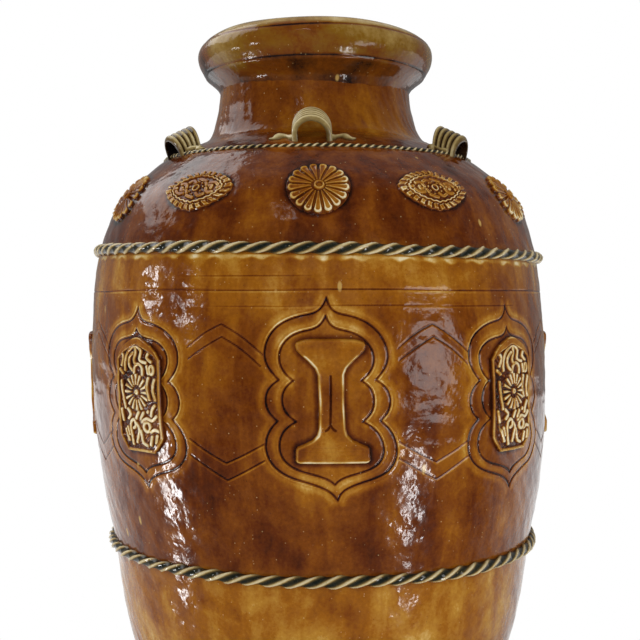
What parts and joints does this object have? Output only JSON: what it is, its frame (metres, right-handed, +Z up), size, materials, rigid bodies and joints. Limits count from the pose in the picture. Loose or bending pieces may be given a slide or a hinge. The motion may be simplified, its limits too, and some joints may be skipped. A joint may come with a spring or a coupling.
{
  "type": "martaban storage jar",
  "caption": "Tall glazed stoneware storage jar with rolled lip, strap lugs round the neck, rope bands, shoulder medallions and relief panels on the belly.",
  "frame": {"origin": "centre of the foot's flat underside", "axes": "+Z up along the jar's axis, front at -Y where a pedestal panel and a chrysanthemum medallion face out, +X to the right seen from the front"},
  "size_m": [0.5632, 0.5632, 0.975],
  "materials": {
    "amber_glaze": "glossy amber-brown iron glaze with runs, darker where it pools",
    "lower_glaze": "glossy amber-brown glaze that ends above a bare buff clay foot",
    "rim_glaze": "glossy mustard-olive glaze, worn pale along the crown",
    "rope_glaze": "glossy buff ridges with dark glaze pooled in the grooves",
    "lug_glaze": "glossy olive-buff ridges with dark brown recesses",
    "medallion_glaze": "glossy amber petals with cream edges and dark recesses",
    "panel_glaze": "glossy amber relief with pale edges and dark recesses"
  },
  "bodies": {
    "root": {"base_section": "lower_glaze", "belly_section": "amber_glaze", "shoulder_section": "amber_glaze", "neck_collar": "amber_glaze", "rim_roll": "rim_glaze", "lower_rope_band": "rope_glaze", "upper_rope_band": "rope_glaze", "neck_cord": "rope_glaze", "strap_lug_1": "lug_glaze", "strap_lug_2": "lug_glaze", "strap_lug_3": "lug_glaze", "strap_lug_4": "lug_glaze", "strap_lug_5": "lug_glaze", "strap_lug_6": "lug_glaze", "chrysanthemum_medallion_1": "medallion_glaze", "chrysanthemum_medallion_2": "medallion_glaze", "chrysanthemum_medallion_3": "medallion_glaze", "chrysanthemum_medallion_4": "medallion_glaze", "chrysanthemum_medallion_5": "medallion_glaze", "chrysanthemum_medallion_6": "medallion_glaze", "lozenge_medallion_1": "medallion_glaze", "lozenge_medallion_2": "medallion_glaze", "lozenge_medallion_3": "medallion_glaze", "lozenge_medallion_4": "medallion_glaze", "lozenge_medallion_5": "medallion_glaze", "lozenge_medallion_6": "medallion_glaze", "pedestal_panel_1": "panel_glaze", "pedestal_panel_2": "panel_glaze", "pedestal_panel_3": "panel_glaze", "pedestal_panel_4": "panel_glaze", "floral_tablet_1": "panel_glaze", "floral_tablet_2": "panel_glaze", "floral_tablet_3": "panel_glaze", "floral_tablet_4": "panel_glaze"}
  },
  "joints": []
}
